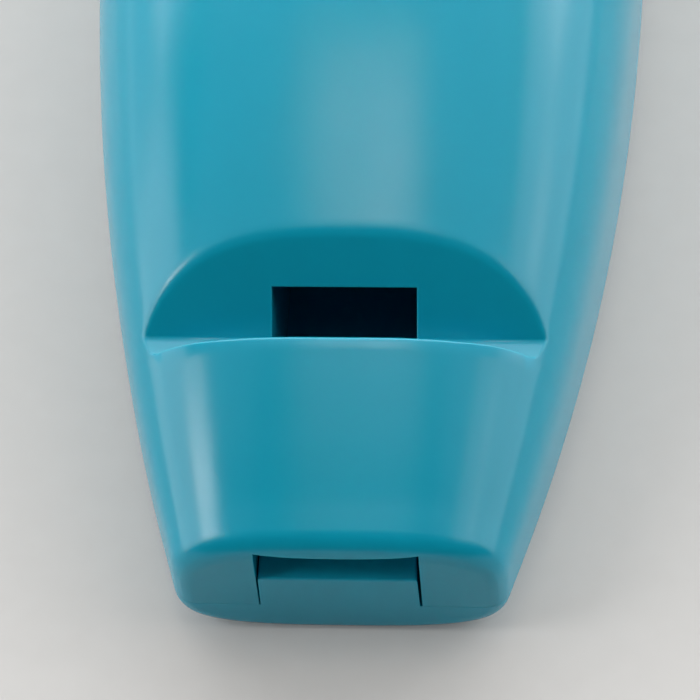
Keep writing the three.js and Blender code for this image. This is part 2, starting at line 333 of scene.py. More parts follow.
ring_steel, tree, shader = new_material("plated_wire")
along = add_node(tree, "ShaderNodeAttribute", attribute_name="wire_along").outputs["Fac"]
section = add_node(tree, "ShaderNodeAttribute", attribute_name="wire_section").outputs["Vector"]
lengthwise = add_node(tree, "ShaderNodeCombineXYZ", {2: times(tree, along, WIRE_STRETCH)}).outputs[0]
wire_place = add_node(tree, "ShaderNodeVectorMath", {0: section, 1: lengthwise}, operation="ADD").outputs[0]
lines = noise(tree, wire_place, WIRE_LINES, detail=3.0)
clouds = noise(tree, add_node(tree, "ShaderNodeTexCoord").outputs["Object"], PLATING_CLOUDS, detail=3.0)
plug(tree, shader["Base Color"], blended(tree, clouds, DULL_PLATING, BRIGHT_PLATING))
rough_lines = fade(tree, lines, *NOISE_RANGE, *LINE_ROUGHNESS)
rough_clouds = fade(tree, clouds, *CLOUD_RANGE, *CLOUD_ROUGHNESS)
plug(tree, shader["Roughness"], plus(tree, rough_lines, rough_clouds))
bump = add_node(tree, "ShaderNodeBump", {"Height": lines, "Distance": WIRE_LINE_DEPTH})
plug(tree, shader["Normal"], bump.outputs[0])
shader["Metallic"].default_value = 1.0
print("wire finish has", len(tree.nodes), "nodes")

# %% [markdown]
# The outside of the body follows a rule: every cross-section is a superellipse, a rounded box. One power
# sets how its crown arches and another how square its shoulders are. Its width and height swell along the
# whistle and fade into the lug at the tail, which is rounded in plan and from the side. At the other end,
# the end face leans forward a little towards its top.
# A rule is a good job for Geometry Nodes. The tree below takes a flat pattern, whose points say "this far
# along, this far round", and rolls it onto the sections. Inner corners are left where they are.

# %% The rule of the outside: sizes
OUTSIDE = {
    "Mouth Width": 11.2,
    "Mouth Height": 5.35,
    "Mouth Edge Radius": 0.55,
    "Lip Depth": 0.58,
    "Lip Drop": 0.56,
    "Mouth Lean": 0.28,
    "Lean Reach": 1.6,
    "Body Width": 20.5,
    "Body Height": 12.7,
    "Widest At": 35.5,
    "Highest At": 33.0,
    "Width Taper Power": 2.5,
    "Height Rise Power": 1.92,
    "Body Length": 54.0,
    "Tail Length": 5.0,
    "Widest Level": 1.97,
    "Crown Power": 2.75,
    "Shoulder Power": 4.45,
    "Underside Power": 3.0,
    "Underside Trim": 0.12,
    "Tail Plan Power": 4.0,
    "Tail Plan Fade": 1.25,
    "Tail Top Power": 3.0,
    "Tail Top Fade": 1.3,
    "Lug Thickness": 3.8,
    "Lug Radius": 3.4,
    "Lug Power": 3.2,
    "Lug Plan Power": 4.0,
    "Eye Behind Body": 2.2,
    "Eye Height": 5.2,
}
outside_tree, given = new_geometry_tree("whistle_outside", OUTSIDE)


# %% The rule of the outside: a size along the whistle
def between(tree, start, end, share):
    return plus(tree, start, times(tree, minus(tree, end, start), share))


def size_along(tree, y, at_mouth, fullest, fullest_at, rise, at_lug, tail_power, tail_fade):
    ahead = over(tree, calc(tree, "MINIMUM", y, fullest_at), fullest_at)
    front = between(tree, fullest, at_mouth, raised(tree, minus(tree, 1.0, ahead), rise))
    behind = minus(tree, y, fullest_at)
    tail = over(tree, behind, minus(tree, given["Body Length"], fullest_at))
    tail = calc(tree, "MINIMUM", calc(tree, "MAXIMUM", tail, 0.0), 1.0)
    left_over = minus(tree, 1.0, raised(tree, tail, tail_power))
    return between(tree, at_lug, front, raised(tree, left_over, tail_fade))


def rounding(tree, depth, drop, reach):
    share = over(tree, calc(tree, "MAXIMUM", reach, 0.0), depth)
    left_over = calc(tree, "MAXIMUM", minus(tree, 1.0, raised(tree, share, 2.0)), 0.0)
    return times(tree, drop, minus(tree, 1.0, calc(tree, "SQRT", left_over)))


# %% The rule of the outside: the sizes of a section
def section_sizes(tree, y, lug):
    mouth_half, body_half, lug_half = [
        times(tree, given[size], 0.5) for size in ("Mouth Width", "Body Width", "Lug Thickness")]
    lug_top = plus(tree, given["Eye Height"], given["Lug Radius"])
    lug_bottom = minus(tree, given["Eye Height"], given["Lug Radius"])
    half = size_along(
        tree, y, mouth_half, body_half, given["Widest At"], given["Width Taper Power"],
        lug_half, given["Tail Plan Power"], given["Tail Plan Fade"])
    top = size_along(
        tree, y, given["Mouth Height"], given["Body Height"], given["Highest At"], given["Height Rise Power"],
        lug_top, given["Tail Top Power"], given["Tail Top Fade"])
    inset, lip = [
        rounding(tree, given[depth], given[drop], minus(tree, given[depth], y))
        for depth, drop in (("Mouth Edge Radius", "Mouth Edge Radius"), ("Lip Depth", "Lip Drop"))
    ]
    past_eye = minus(tree, y, plus(tree, given["Body Length"], given["Eye Behind Body"]))
    drop = rounding(tree, given["Lug Radius"], given["Lug Radius"], past_eye)
    past_eye = over(tree, calc(tree, "MAXIMUM", past_eye, 0.0), given["Lug Radius"])
    plan = minus(tree, 1.0, raised(tree, past_eye, given["Lug Plan Power"]))
    plan = raised(tree, calc(tree, "MAXIMUM", plan, 0.0), over(tree, 1.0, given["Lug Plan Power"]))
    bottom = between(tree, times(tree, given["Underside Trim"], -1.0), lug_bottom, lug)
    bottom = plus(tree, bottom, plus(tree, inset, drop))
    top = minus(tree, top, plus(tree, lip, drop))
    half = times(tree, minus(tree, half, inset), plan)
    return half, top, bottom


# %% The rule of the outside: the shape of a section
def section_shape(tree, turn, lug):
    ways = [calc(tree, way, turn) for way in ("COSINE", "SINE")]
    is_upper = calc(tree, "GREATER_THAN", ways[1], 0.0)
    powers = [
        between(tree, between(tree, given["Underside Power"], given[name], is_upper), given["Lug Power"], lug)
        for name in ("Crown Power", "Shoulder Power")
    ]
    mean = times(tree, plus(tree, *powers), 0.5)
    sizes = [calc(tree, "ABSOLUTE", way) for way in ways]
    sum_of_powers = plus(tree, *[raised(tree, size, mean) for size in sizes])
    out = raised(tree, sum_of_powers, over(tree, -1.0, mean))
    x, z = [
        times(tree, calc(tree, "SIGN", way), raised(tree, times(tree, out, size), over(tree, mean, power)))
        for way, size, power in zip(ways, sizes, powers)
    ]
    return x, z, is_upper


# %% The rule of the outside: the leaning end face
def position(tree):
    place = add_node(tree, "GeometryNodeInputPosition").outputs[0]
    return add_node(tree, "ShaderNodeSeparateXYZ", {0: place}).outputs


def leaned(tree, geometry):
    _, y, z = position(tree)
    near = minus(tree, 1.0, over(tree, y, given["Lean Reach"]))
    near = raised(tree, calc(tree, "MAXIMUM", near, 0.0), 2.0)
    share = times(tree, near, over(tree, z, given["Mouth Height"]))
    forward = times(tree, times(tree, given["Mouth Lean"], -1.0), share)
    return add_node(tree, "GeometryNodeSetPosition", {
        "Geometry": geometry,
        "Offset": add_node(tree, "ShaderNodeCombineXYZ", {1: forward}).outputs[0],
    }).outputs[0]


# %% The rule of the outside: the whole tree
def build_outside(tree):
    turn, y, _ = position(tree)
    lug = add_node(tree, "ShaderNodeMapRange", {
        "Value": y,
        "From Min": minus(tree, given["Body Length"], given["Tail Length"]),
        "From Max": given["Body Length"],
    }, interpolation_type="SMOOTHSTEP").outputs[0]
    half, top, bottom = section_sizes(tree, y, lug)
    x, z, is_upper = section_shape(tree, turn, lug)
    widest = between(tree, given["Widest Level"], given["Eye Height"], lug)
    reach = between(tree, minus(tree, widest, bottom), minus(tree, top, widest), is_upper)
    x = times(tree, half, x)
    z = calc(tree, "MAXIMUM", plus(tree, widest, times(tree, reach, z)), 0.0)
    on_outside = add_node(
        tree, "GeometryNodeInputNamedAttribute", {"Name": "on_outside"}, data_type="BOOLEAN")
    moved = add_node(tree, "GeometryNodeSetPosition", {
        "Geometry": given["Geometry"],
        "Selection": on_outside.outputs[0],
        "Position": add_node(tree, "ShaderNodeCombineXYZ", {0: x, 1: y, 2: z}).outputs[0],
    })
    close_tree(tree, leaned(tree, moved.outputs[0]), given["Material"])


build_outside(outside_tree)


# %% [markdown]
# The same tree can also be asked questions. A probe is a handful of loose points that go through the
# tree, and their new places are read back. Halving a range then finds where the outside crosses a level
# or a plane, such as the ramp of the window. So the rule is written once, and nothing has to repeat it.

# %% Asking the rule
def linked(name, mesh):
    thing = bpy.data.objects.new(name, mesh)
    bpy.context.scene.collection.objects.link(thing)
    return thing


def mark_outside(mesh, flags):
    attribute = mesh.attributes.new("on_outside", "BOOLEAN", "POINT")
    attribute.data.foreach_set("value", list(flags))


def outside_points(turn, along):
    turn, along = np.broadcast_arrays(np.asarray(turn, float), np.asarray(along, float))
    mesh = bpy.data.meshes.new("probe")
    mesh.from_pydata([(t, y, 0.0) for t, y in zip(turn.ravel(), along.ravel())], [], [])
    mark_outside(mesh, [True] * turn.size)
    probe = linked("probe", mesh)
    add_tree(probe, outside_tree, OUTSIDE)
    shaped = probe.evaluated_get(bpy.context.evaluated_depsgraph_get()).data
    places = np.empty(len(shaped.vertices) * 3, np.float32)
    shaped.vertices.foreach_get("co", places)
    bpy.data.objects.remove(probe)
    bpy.data.meshes.remove(mesh)
    return places.reshape(-1, 3).astype(float)


def crossing(gap, low, high, halvings=26):
    low, high = np.asarray(low, float), np.asarray(high, float)
    for _ in range(halvings):
        middle = (low + high) / 2
        below = gap(middle) < 0
        low, high = np.where(below, middle, low), np.where(below, high, middle)
    return (low + high) / 2


def turn_at_level(along, height, lowest, highest):
    along = np.asarray(along, float)
    return crossing(lambda turn: outside_points(turn, along)[:, 2] - height,
                    np.full(along.shape, lowest), np.full(along.shape, highest))


# %% [markdown]
# The window is the notch in the top, just behind the mouth. Its front is the rear wall of the windway's
# roof, its floor is a narrow level strip that starts in a small fillet, and behind that a flat ramp climbs
# until it runs out through the rounded top, which gives the edge its D shape. The air leaves the windway,
# crosses the gap and meets the labium, the upper edge of the hole in the ramp.

# %% Sizes of the window, the windway and the seam
ROOF_LENGTH = 6.82
WINDOW_GAP = 0.83
WINDOW_DEPTH = 1.43
FLOOR_FILLET = 0.22
RAMP_RISE = math.tan(math.radians(43.4))
LABIUM_BEHIND_FOOT = 1.31
HOLE_HALF = 2.5
SLOT_HALF = 2.8
LIP_THICKNESS = 0.4
LIP_SAG = 0.12
EXIT_SAG = 0.05
ROOF_EDGE_THICKNESS = 0.65
CHAMBER_END = 19.0
SEAM = 1.69
BASE_LENGTH = 49.1
BASE_END_GAP = 0.05

foot_at = ROOF_LENGTH + WINDOW_GAP
roof_top = outside_points([math.pi / 2], [ROOF_LENGTH])[0, 2]
floor_level = roof_top - WINDOW_DEPTH
labium_at = foot_at + LABIUM_BEHIND_FOOT
labium_level = floor_level + LABIUM_BEHIND_FOOT * RAMP_RISE
slot_top = OUTSIDE["Mouth Height"] - LIP_THICKNESS
exit_top = roof_top - ROOF_EDGE_THICKNESS
tail_from = BASE_LENGTH + BASE_END_GAP
print("roof", round(roof_top, 2), "floor", round(floor_level, 2), "labium", round(labium_level, 2))

# %% [markdown]
# A moulding's pattern is a list of corners, faces, and edges that are to be rounded. A pattern corner is
# either on the outside, where it is given as an angle and a distance along, or inside, where it is given as
# a place. Corners that repeat are found again rather than doubled, so the finished mesh is closed.

# %% The pattern of a moulding
class Pattern:
    def __init__(self):
        self.corners, self.flags, self.faces, self.known, self.soft = [], [], [], {}, {}

    def corner(self, place, on_outside):
        key = (on_outside,) + tuple(round(float(value), 5) for value in place)
        if key not in self.known:
            self.known[key] = len(self.corners)
            self.corners.append(tuple(float(value) for value in place))
            self.flags.append(on_outside)
        return self.known[key]

    def outside(self, turns, along):
        turns, along = np.broadcast_arrays(turns, along)
        return [self.corner((turn, y, 0.0), True) for turn, y in zip(turns, along)]

    def inside(self, *places):
        return [self.corner(place, False) for place in places]

    def face(self, *loops):
        self.faces.append([corner for loop in loops for corner in loop])

    def grid(self, rows):
        for one, two in zip(rows, rows[1:]):
            for i in range(len(one) - 1):
                self.faces.append([one[i], one[i + 1], two[i + 1], two[i]])

    def soften(self, line, radius):
        radii = np.broadcast_to(radius, len(line) - 1)
        for pair, size in zip(zip(line, line[1:]), radii):
            self.soft[frozenset(pair)] = float(size)


# %% [markdown]
# The shell's pattern has columns round the body and rows along it. The columns of the top stop at the
# window's rim, so that the D-shaped edge is a line of corners and not a ragged cut, and can be rounded
# evenly. The rim of each row is where the outside passes the level of the window's floor.

# %% Columns and rows of the shell
LIP_COLUMNS = 40
SHOULDER_COLUMNS = 28
SIDE_COLUMNS = 14
UNDER_COLUMNS = 30
MOUTH_ROWS = (0.0, 0.1, 0.14, 0.2, 0.27, 0.36, 0.46, 0.6)
ROOF_ROWS = 12
GAP_ROWS = 4
FILLET_ROWS = 6
BODY_ROWS = 54
FIRST_ROW_SHARE = 0.012

front_rows = np.concatenate([MOUTH_ROWS, np.linspace(MOUTH_ROWS[-1], ROOF_LENGTH, ROOF_ROWS + 1)[1:]])
fillet_rows = ROOF_LENGTH + FLOOR_FILLET * (1 - np.cos(np.linspace(0, math.pi / 2, FILLET_ROWS)))
gap_rows = np.concatenate([fillet_rows, np.linspace(fillet_rows[-1], foot_at, GAP_ROWS)[1:]])
row_shares = np.concatenate([[0.0], np.linspace(FIRST_ROW_SHARE, 1.0, BODY_ROWS)])
body_rows = foot_at + (tail_from - foot_at) * row_shares
side_shares = np.linspace(0, 1, SIDE_COLUMNS + 1)
print(len(front_rows), "rows before the window,", len(gap_rows), "beside it,", len(body_rows), "behind it")


def floor_at(along):
    share = np.clip(1 - (np.asarray(along) - ROOF_LENGTH) / FLOOR_FILLET, 0, 1)
    return floor_level + FLOOR_FILLET * (1 - np.sqrt(1 - share ** 2))


def rim_turn(along):
    along = np.clip(along, ROOF_LENGTH, foot_at)
    return turn_at_level(along, floor_at(along), 0.0, math.pi / 2)


def seam_turn(along):
    return turn_at_level(along, SEAM, -math.pi / 2, 0.0)


def side_turns(seam, rim):
    return seam + (rim - seam) * side_shares


# %% [markdown]
# The slot is cut into the rounded lip, so its upper edge lies on the rounding itself. The columns of the
# top are spaced so that two of them meet the slot's upper corners, and between those the skin starts on
# that edge.

# %% Where the slot meets the lip
GUESSES = 200


def over_slot(turn, along):
    places = outside_points(turn, along)
    return places[:, 2] - (slot_top - LIP_SAG * (1 - np.minimum(np.abs(places[:, 0]) / SLOT_HALF, 1) ** 2))


def slot_edge(turn):
    starts = np.zeros(len(turn))
    return crossing(lambda along: over_slot(turn, along), starts, starts + MOUTH_ROWS[-1])


front_rim = rim_turn([ROOF_LENGTH])[0]
guesses = np.linspace(front_rim, math.pi / 2, GUESSES)
lip_corner = np.interp(-SLOT_HALF, -outside_points(guesses, slot_edge(guesses))[:, 0], guesses)
end_corner = np.interp(-SLOT_HALF, -outside_points(guesses, 0.0)[:, 0], guesses)
corner_share = (lip_corner - front_rim) / (math.pi - 2 * front_rim)
shoulder_shares = np.linspace(0, corner_share, SHOULDER_COLUMNS + 1)
lip_shares = np.linspace(corner_share, 1 - corner_share, LIP_COLUMNS + 1)
top_shares = np.concatenate([shoulder_shares[:-1], lip_shares, 1 - shoulder_shares[-2::-1]])
print("the slot's corners lie", round(slot_edge([lip_corner])[0], 3), "mm behind the end face")


def top_turns(rim):
    return rim + (math.pi - 2 * rim) * top_shares


# %% [markdown]
# The window's D-shaped edge is where the ramp's plane leaves through the top. It is found column by
# column, and the skin behind it starts there, so its rows are bent at the window and straighten out
# towards the tail.

# %% Where the ramp meets the top
LONGEST_RAMP = 9.0

rear_rim = rim_turn([foot_at])[0]
rim_columns = top_turns(rear_rim)


def over_ramp(along):
    return floor_level + (along - foot_at) * RAMP_RISE - outside_points(rim_columns, along)[:, 2]


ramp_starts = np.full(rim_columns.shape, foot_at)
d_curve = crossing(over_ramp, ramp_starts, ramp_starts + LONGEST_RAMP)
d_curve[[0, -1]] = foot_at
print("the D-shaped edge reaches", round(d_curve.max(), 2), "mm behind the mouth")


# %% The shell's skin
def one_row(pattern, along, seam, rim):
    right_side = pattern.outside(side_turns(seam, rim), along)
    top = pattern.outside(top_turns(rim), along)
    left_side = pattern.outside(math.pi - side_turns(seam, rim), along)[::-1]
    return right_side, top, left_side


def joined(right_side, top, left_side):
    return right_side + top[1:-1] + left_side


shell = Pattern()
front = [one_row(shell, y, s, front_rim) for y, s in zip(front_rows[1:], seam_turn(front_rows[1:]))]
gap = [one_row(shell, y, s, r) for y, s, r in zip(gap_rows, seam_turn(gap_rows), rim_turn(gap_rows))]
body = []
for y, share, seam in zip(body_rows, row_shares, seam_turn(body_rows)):
    right_side = shell.outside(side_turns(seam, rear_rim), y)
    top = shell.outside(rim_columns, d_curve + (tail_from - d_curve) * share)
    left_side = shell.outside(math.pi - side_turns(seam, rear_rim), y)[::-1]
    body.append((right_side, top, left_side))
shell.grid([joined(*row) for row in front])
shell.grid([row[0] for row in gap])
shell.grid([row[2] for row in gap])
shell.grid([joined(*row) for row in body])
print("the skin so far has", len(shell.faces), "faces")

# %% The legs and the lip at the mouth
lip_turns = front_rim + (math.pi - 2 * front_rim) * lip_shares
lip_line = shell.outside(lip_turns, slot_edge(lip_turns))
mouth_seam = seam_turn([0.0])[0]
leg_turns = np.concatenate([
    side_turns(mouth_seam, front_rim)[:-1], np.linspace(front_rim, end_corner, SHOULDER_COLUMNS + 1)])
right_leg = shell.outside(leg_turns, 0.0)
left_leg = shell.outside(math.pi - leg_turns, 0.0)[::-1]
first_row = joined(*front[0])
leg_columns = len(right_leg)
right_first, left_first = first_row[:leg_columns], first_row[-leg_columns:]
shell.grid([right_leg[:-1], right_first[:-1]])
shell.grid([left_leg[1:], left_first[1:]])
shell.face([right_leg[-2], right_leg[-1], lip_line[0], right_first[-1], right_first[-2]])
shell.face([left_leg[1], left_leg[0], lip_line[-1], left_first[0], left_first[1]])
shell.grid([lip_line, first_row[leg_columns - 1:1 - leg_columns]])
print("with the legs and the lip,", len(shell.faces))

# %% [markdown]
# Behind the base plate the shell runs down to the floor side and narrows into the lug, so there its rows go
# all the way round. The last row is closed with one small face.

# %% The tail and the lug
TAIL_ROWS = 26
LUG_NECK = 0.25
LUG_ROWS = 16
LUG_END_SHARE = 0.975

eye_at = OUTSIDE["Body Length"] + OUTSIDE["Eye Behind Body"]
lug_angles = np.linspace(0, LUG_END_SHARE * math.pi / 2, LUG_ROWS)
tail_rows = np.concatenate([
    tail_from + (OUTSIDE["Body Length"] - tail_from) * np.sin(np.linspace(0, math.pi / 2, TAIL_ROWS)),
    [OUTSIDE["Body Length"] + LUG_NECK],
    eye_at + OUTSIDE["Lug Radius"] * np.sin(lug_angles),
])
tail_seam = seam_turn([tail_from])[0]
under_turns = np.linspace(math.pi - tail_seam, 2 * math.pi + tail_seam, UNDER_COLUMNS)[1:-1]
tail = []
for y in tail_rows:
    upper = joined(*one_row(shell, y, tail_seam, rear_rim)) if y > tail_from else joined(*body[-1])
    under = shell.outside(under_turns, y)
    tail.append(upper + under + upper[:1])
shell.grid(tail)
shell.face(tail[-1][:-1])
step = tail[0][len(joined(*body[-1])) - 1:]
shell.face(step)
print("with the tail,", len(shell.faces))

# %% [markdown]
# The inner faces close the pattern: the end face round the slot, the walls and roof of the windway, the
# wall of the roof's rear edge, the two floor strips, the ramp with its hole, and the sounding chamber.
# The ramp is three faces in one plane, because a face with a notch in it is easily filled in wrongly. The
# roof of the slot sags a little in the middle, as thin moulded roofs do.

# %% The windway, the window and the chamber: corners
def both_sides(half, y, z):
    return shell.inside((-half, y, z), (half, y, z))


lip_across = outside_points(lip_turns, slot_edge(lip_turns))[:, 0] / SLOT_HALF
exit_line = shell.inside(*[(HOLE_HALF * share, ROOF_LENGTH, exit_top - EXIT_SAG * (1 - share ** 2))
                           for share in np.clip(lip_across, -1, 1)])
slot_left, slot_right = both_sides(SLOT_HALF, 0, SEAM)
exit_left, exit_right = both_sides(HOLE_HALF, ROOF_LENGTH, SEAM)
strip_left, strip_right = [
    shell.inside(*[(x, y, z) for y, z in zip(gap_rows, floor_at(gap_rows))]) for x in (-HOLE_HALF, HOLE_HALF)]
(sill_left, *_, foot_left), (sill_right, *_, foot_right) = strip_left, strip_right
lip_left, lip_right = both_sides(HOLE_HALF, labium_at, labium_level)
deep_left, deep_right = both_sides(HOLE_HALF, CHAMBER_END, labium_level)
low_left, low_right = both_sides(HOLE_HALF, CHAMBER_END, SEAM)
print("the pattern has", len(shell.corners), "corners")

# %% The windway, the window and the chamber: faces
roof_edge = front[-1][1]
window_edge = body[0][1]
floor_right = [row[0][-1] for row in gap]
floor_left = [row[2][0] for row in gap]
shell.face(right_leg, [slot_right])
shell.face(left_leg, [slot_left])
shell.grid([lip_line, exit_line])
shell.face([slot_left, left_leg[0], lip_line[-1], exit_line[-1], sill_left, exit_left])
shell.face([slot_right, right_leg[-1], lip_line[0], exit_line[0], sill_right, exit_right])
shell.face(roof_edge, [sill_left], exit_line[::-1], [sill_right])
shell.grid([floor_right, strip_right])
shell.grid([floor_left, strip_left])
shell.face(window_edge[:SHOULDER_COLUMNS + 1], [lip_right, foot_right])
shell.face(window_edge[SHOULDER_COLUMNS:-SHOULDER_COLUMNS], [lip_left, lip_right])
shell.face(window_edge[-SHOULDER_COLUMNS - 1:], [foot_left, lip_left])
shell.face([exit_left], strip_left, [lip_left, deep_left, low_left])
shell.face([exit_right], strip_right, [lip_right, deep_right, low_right])
shell.face([lip_left, lip_right, deep_right, deep_left])
shell.face([deep_left, deep_right, low_right, low_left])

# %% The underside of the shell, on the seam
seam_right = right_leg[:1] + [row[0][0] for row in front + gap[1:] + body[1:]]
seam_left = left_leg[-1:] + [row[2][-1] for row in front + gap[1:] + body[1:]]
shell.face(seam_right, seam_left[::-1], [slot_left, exit_left, low_left, low_right, exit_right, slot_right])
print("shell pattern:", len(shell.corners), "corners,", len(shell.faces), "faces")

# %% [markdown]
# Moulded edges are never knife sharp. Each line gets the radius that the real edge shows: soft on the
# D-shaped rim and the rear edge of the roof, small on the hole and the slot, and only a hair on the seam,
# where a wide radius would draw a groove that isn't there. Where two lines run on into each other, unequal
# radii would fold the bevel over itself, so the radii shrink towards the corners and agree there.

# %% Edges of the shell
# two radii are at the ends and in the middle of a line, or at its front and its rear
WINDOW_RADII = (0.1, 0.28)
ROOF_EDGE_RADII = (0.005, 0.22)
SLOT_RADII = (0.03, 0.05)
FLOOR_EDGE_RADII = (0.005, 0.08)
HOLE_RADII = (0.005, 0.05)
LABIUM_RADIUS = 0.04
SEAM_RADIUS = 0.02
QUICKLY, EVENLY, SLOWLY = 0.5, 1, 2


def soft_in_the_middle(line, at_ends, in_middle, growth):
    shares = np.linspace(0, math.pi, len(line) - 1)
    return at_ends + (in_middle - at_ends) * np.abs(np.sin(shares)) ** growth


shell.soften(window_edge, soft_in_the_middle(window_edge, *WINDOW_RADII, QUICKLY))
shell.soften(roof_edge, soft_in_the_middle(roof_edge, *ROOF_EDGE_RADII, SLOWLY))
shell.soften(lip_line, soft_in_the_middle(lip_line, *SLOT_RADII, EVENLY))
for line in (floor_left, floor_right):
    shell.soften(line, np.linspace(*FLOOR_EDGE_RADII, len(line) - 1))
for line in ([window_edge[0], foot_right], [window_edge[-1], foot_left]):
    shell.soften(line, FLOOR_EDGE_RADII[1])
for line in (strip_left + [lip_left], strip_right + [lip_right]):
    shell.soften(line, np.linspace(*HOLE_RADII, len(line) - 1))
shell.soften(exit_line, HOLE_RADII[1])
shell.soften([lip_left, lip_right], LABIUM_RADIUS)
for line in ([slot_left, left_leg[0], lip_line[-1]], [slot_right, right_leg[-1], lip_line[0]]):
    shell.soften(line, SLOT_RADII[0])
for line in ([slot_right, right_leg[0]], [slot_left, left_leg[-1]], seam_right, seam_left, step):
    shell.soften(line, SEAM_RADIUS)
print("softened edges:", len(shell.soft))

# %% [markdown]
# A pattern becomes a mesh in three steps that any piece can share: the tree rolls the outside, a Bevel
# rounds the marked edges by their own radii, and Weighted Normal keeps the flat faces looking flat beside
# them. The evaluated result is then kept as a plain mesh, carried into the frame, with nothing live left
# on it.

# %% From pattern to piece
BEVEL_SEGMENTS = 3
CREASE = math.radians(50)


def settle(thing):
    depsgraph = bpy.context.evaluated_depsgraph_get()
    shaped = thing.evaluated_get(depsgraph)
    mesh = bpy.data.meshes.new_from_object(shaped, preserve_all_data_layers=True, depsgraph=depsgraph)
    thing.modifiers.clear()
    old, thing.data = thing.data, mesh
    bpy.data.meshes.remove(old)
    mesh.name = thing.name


def turn_outwards(mesh):
    shape = bmesh.new()
    shape.from_mesh(mesh)
    bmesh.ops.recalc_face_normals(shape, faces=shape.faces)
    shape.to_mesh(mesh)
    shape.free()


def pattern_object(name, pattern, material):
    mesh = bpy.data.meshes.new(name)
    mesh.from_pydata(pattern.corners, [], pattern.faces)
    mark_outside(mesh, pattern.flags)
    widest = max(pattern.soft.values())
    weights = [pattern.soft.get(frozenset(edge.vertices), 0.0) / widest for edge in mesh.edges]
    mesh.attributes.new("bevel_weight_edge", "FLOAT", "EDGE").data.foreach_set("value", weights)
    thing = linked(name, mesh)
    add_tree(thing, outside_tree, OUTSIDE, material)
    settle(thing)
    turn_outwards(thing.data)
    bevel = thing.modifiers.new("edges", "BEVEL")
    bevel.limit_method = "WEIGHT"
    bevel.width = widest
    bevel.segments = BEVEL_SEGMENTS
    bevel.use_clamp_overlap = False
    settle(thing)
    return thing


def smooth(thing):
    for polygon in thing.data.polygons:
        polygon.use_smooth = True
    thing.data.set_sharp_from_angle(angle=CREASE)
    weighted = thing.modifiers.new("flat faces", "WEIGHTED_NORMAL")
    weighted.keep_sharp = True
    settle(thing)


def report(thing):
    thing.data.calc_loop_triangles()
    shape = bmesh.new()
    shape.from_mesh(thing.data)
    open_edges = sum(not edge.is_manifold for edge in shape.edges)
    print(thing.name, len(thing.data.loop_triangles), "triangles,", open_edges, "open edges,",
          "volume", round(shape.calc_volume(signed=True) / MM ** 3, 1), "mm3")
    shape.free()


# %% [markdown]
# The eye is bored through the lug for the ring. Its rim is eased, so the cutter is a rod that flares at
# both faces of the lug. It is turned as a profile of radii along X, and it ends just outside the lug,
# because a flare that ran on would bite into the tail.

# %% The eye in the lug
WIRE_WIDTH = 1.2
WIRE_THICKNESS = 1.03
TURN_GAP = 0.14
EYE_CLEARANCE = 0.35
EYE_FACETS = 56
EYE_FLARE = 0.32
FLARE_ANGLE = math.radians(62)
FLARE_OVERRUN = 0.12
FLARE_STEPS = 5

turn_pitch = WIRE_THICKNESS + TURN_GAP
eye_radius = math.hypot(WIRE_WIDTH, turn_pitch + WIRE_THICKNESS) / 2 + EYE_CLEARANCE
half_lug = OUTSIDE["Lug Thickness"] / 2


def eye_cutter():
    angles = np.linspace(0, FLARE_ANGLE, FLARE_STEPS)
    flare = [(half_lug - EYE_FLARE + EYE_FLARE * math.sin(a), eye_radius + EYE_FLARE * (1 - math.cos(a)))
             for a in angles]
    last_x, last_radius = flare[-1]
    flare.append((last_x + FLARE_OVERRUN, last_radius + FLARE_OVERRUN * math.tan(FLARE_ANGLE)))
    profile = [(-x, radius) for x, radius in reversed(flare)] + flare
    shape = bmesh.new()
    around = np.linspace(0, 2 * math.pi, EYE_FACETS, endpoint=False)
    rings = []
    for x, radius in profile:
        rings.append([
            shape.verts.new((x, eye_at + radius * math.cos(a), OUTSIDE["Eye Height"] + radius * math.sin(a)))
            for a in around])
    for one, two in zip(rings, rings[1:]):
        for i in range(EYE_FACETS):
            shape.faces.new((one[i], one[i - 1], two[i - 1], two[i]))
    shape.faces.new(rings[0])
    shape.faces.new(rings[-1])
    bmesh.ops.recalc_face_normals(shape, faces=shape.faces)
    mesh = bpy.data.meshes.new("eye_cutter")
    shape.to_mesh(mesh)
    shape.free()
    return linked("eye_cutter", mesh)


def bore_eye(thing):
    cutter = eye_cutter()
    bore = thing.modifiers.new("eye", "BOOLEAN")
    bore.object = cutter
    bore.operation = "DIFFERENCE"
    bore.solver = "EXACT"
    settle(thing)
    bpy.data.objects.remove(cutter)


# %% The upper shell
upper_shell = pattern_object("upper_shell_moulding", shell, shell_plastic)
bore_eye(upper_shell)
upper_shell.data.transform(TO_FRAME)
smooth(upper_shell)
report(upper_shell)

# %% [markdown]
# The base plate is the lower slice of the same outside, with the tongue standing on it: a block that slopes
# up under the shell's roof and leaves the windway open above it. Moulded walls lean slightly so that they
# leave the tool, so the tongue is a little narrower at its top and the slits beside it open upwards.

# %% The base plate
TONGUE_LEVEL = 3.44
LEFT_SLIT = (0.06, 0.035)
RIGHT_SLIT = (0.11, 0.07)
BASE_ROWS = 50
BASE_COLUMNS = 60

